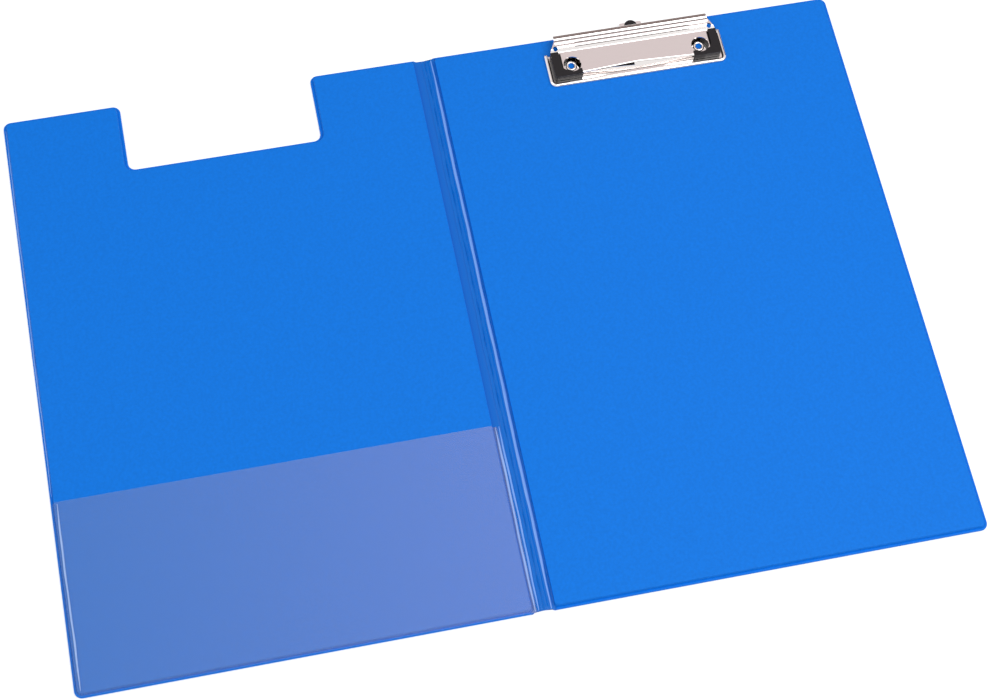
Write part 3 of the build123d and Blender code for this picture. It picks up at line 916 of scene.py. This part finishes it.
def make_card(name, centre, towards, width, height, colour):
    """A card that glows with its own colour and that only reflections see, standing in for the cards a
    studio sets up round bright metal.
    """
    material, output = new_material(name)
    shader = add_node(material, "ShaderNodeEmission", {"Color": (*colour, 1), "Strength": 1.0})
    material.node_tree.links.new(shader.outputs[0], output.inputs["Surface"])
    facing = (Vector(towards) - Vector(centre)).normalized()
    across = facing.cross(Vector((0, 0, 1))).normalized() * width / 2
    up = across.cross(facing).normalized() * height / 2
    middle = Vector(centre)
    corners = [middle - across - up, middle + across - up, middle + across + up, middle - across + up]
    card = stage_plane(name, [tuple(corner) for corner in corners], material)
    card.visible_camera = False
    card.visible_diffuse = False
    card.visible_shadow = False
    card.visible_transmission = False


def make_light(name, centre, towards, size, power):
    """A square area lamp that looks from centre towards a point."""
    lamp = bpy.data.lights.new(name, "AREA")
    lamp.shape = "SQUARE"
    lamp.size = size
    lamp.energy = power
    holder = bpy.data.objects.new(name, lamp)
    holder.location = centre
    holder.rotation_euler = (Vector(towards) - Vector(centre)).to_track_quat("-Z", "Y").to_euler()
    bpy.context.scene.collection.objects.link(holder)


def make_world(level):
    """Even light from all round, and plain white to the camera and in reflections."""
    world = bpy.data.worlds.new("even_light")
    world.use_nodes = True
    world.node_tree.nodes.clear()
    output = add_node(world, "ShaderNodeOutputWorld")
    even = add_node(world, "ShaderNodeBackground", {"Color": (1, 1, 1, 1), "Strength": level})
    white = add_node(world, "ShaderNodeBackground", {"Color": (1, 1, 1, 1), "Strength": 1.0})
    mix = add_node(world, "ShaderNodeMixShader")
    tree = world.node_tree
    tree.links.new(seen_share(world), mix.inputs[0])
    tree.links.new(even.outputs[0], mix.inputs[1])
    tree.links.new(white.outputs[0], mix.inputs[2])
    tree.links.new(mix.outputs[0], output.inputs["Surface"])
    bpy.context.scene.world = world


def make_camera():
    """The photograph's view of the open folder."""
    lens = bpy.data.cameras.new("camera")
    lens.sensor_fit = "HORIZONTAL"
    lens.sensor_width = 36
    lens.lens = 74.34
    lens.clip_start = 0.01
    lens.clip_end = 20
    camera = bpy.data.objects.new("camera", lens)
    camera.location = (-119.0 * MM, -423.1 * MM, 972.6 * MM)
    camera.rotation_euler = [math.radians(angle) for angle in (23.3557, -2.3682, -11.5129)]
    bpy.context.scene.collection.objects.link(camera)
    bpy.context.scene.camera = camera


class FOLDER_OT_stage(bpy.types.Operator):
    """Set the floor, the lights, the cards and the camera."""

    bl_idname = "folder.stage"
    bl_label = "Stage"

    def execute(self, context):
        settings = context.scene.folder_stage
        make_floor(settings)
        make_world(settings.world_level)
        make_light("key", (0.62, -0.3, 1.2), (0.1, 0, 0), 1.0, settings.key_power)
        make_light("fill", (-0.8, 0.1, 1.1), (-0.1, 0, 0), 0.8, settings.fill_power)
        clip = (0.115, 0.14, 0)
        make_card("front_card", (0.40, -0.90, 0.52), clip, 0.45, 0.5, (0.02, 0.02, 0.02))
        make_card("low_rear_card", (0.35, 1.12, 0.20), clip, 3.0, 0.34, (0.27, 0.21, 0.2))
        make_card("high_rear_card", (0.33, 1.02, 0.62), clip, 2.6, 0.44, (0.02, 0.02, 0.02))
        make_card("ceiling_card", (0.36, 0.746, 1.0), clip, 0.9, 0.9, (0.80, 0.715, 0.72))
        over_bead = EDGE_REAR - 30.3 * MM
        for name, middle, level, width, height, colour in (
            ("lip_shade", -11.5, 7.0, 21, 2.6, (0.02, 0.02, 0.02)),
            ("lip_left", -20, 4.3, 38, 2.6, (1, 1, 1)),
            ("lip_right", 19, 5.8, 40, 5.2, (1, 1, 1)),
        ):
            centre = (CLIP_MIDDLE + middle * MM, over_bead, level * MM)
            make_card(name, centre, (centre[0], 1, centre[2]), width * MM, height * MM, colour)
        make_camera()
        context.scene.view_settings.view_transform = "Standard"
        return {"FINISHED"}


class FOLDER_OT_welded_edges(bpy.types.Operator):
    """Make the outer sheet and welded edge of both panels."""

    bl_idname = "folder.welded_edges"
    bl_label = "Welded edges"

    def execute(self, context):
        for which in PANELS:
            make_pan(which)
        make_rim_bead()
        return {"FINISHED"}


class FOLDER_OT_draped_sheets(bpy.types.Operator):
    """Make the inner sheet of both panels."""

    bl_idname = "folder.draped_sheets"
    bl_label = "Draped sheets"

    def execute(self, context):
        for which in PANELS:
            make_drape(which)
        return {"FINISHED"}


class FOLDER_OT_spine(bpy.types.Operator):
    """Make both halves of the spine with their creases."""

    bl_idname = "folder.spine"
    bl_label = "Spine"

    def execute(self, context):
        for which in PANELS:
            make_spine_skin(which)
        make_spine_beads()
        return {"FINISHED"}


class FOLDER_OT_pocket(bpy.types.Operator):
    """Make the pocket film."""

    bl_idname = "folder.pocket"
    bl_label = "Pocket film"

    def execute(self, context):
        make_film_sheet()
        make_film_beads()
        return {"FINISHED"}


class FOLDER_OT_clip(bpy.types.Operator):
    """Finish the solids of the clip and the boards, and make the springs."""

    bl_idname = "folder.clip"
    bl_label = "Clip"

    def execute(self, context):
        for finish in NODE_FINISHES:
            finish_nodes(finish)
        for node in ("spring_left", "spring_right"):
            make_spring(node)
        return {"FINISHED"}


OPERATORS = (
    FOLDER_OT_stage,
    FOLDER_OT_welded_edges,
    FOLDER_OT_draped_sheets,
    FOLDER_OT_spine,
    FOLDER_OT_pocket,
    FOLDER_OT_clip,
)


class FOLDER_PT_panel(bpy.types.Panel):
    """The folder's operators in the sidebar."""

    bl_idname = "FOLDER_PT_panel"
    bl_label = "Clipboard folder"
    bl_space_type = "VIEW_3D"
    bl_region_type = "UI"
    bl_category = "Folder"

    def draw(self, context):
        for operator in OPERATORS:
            self.layout.operator(operator.bl_idname)


GROUPS = {
    "folder_sizes": FolderSizes,
    "folder_colours": FolderColours,
    "folder_stage": StageSettings,
}


def register():
    """Registers the settings, the operators and the panel."""
    for name, group in GROUPS.items():
        bpy.utils.register_class(group)
        setattr(bpy.types.Scene, name, bpy.props.PointerProperty(type=group))
    for kind in (*OPERATORS, FOLDER_PT_panel):
        bpy.utils.register_class(kind)


def unregister():
    """Takes them out again."""
    for kind in (FOLDER_PT_panel, *reversed(OPERATORS)):
        bpy.utils.unregister_class(kind)
    for name, group in reversed(GROUPS.items()):
        delattr(bpy.types.Scene, name)
        bpy.utils.unregister_class(group)


def main():
    register()
    for operator in OPERATORS:
        family, _, name = operator.bl_idname.partition(".")
        getattr(getattr(bpy.ops, family), name)()


if __name__ == "__main__":
    main()
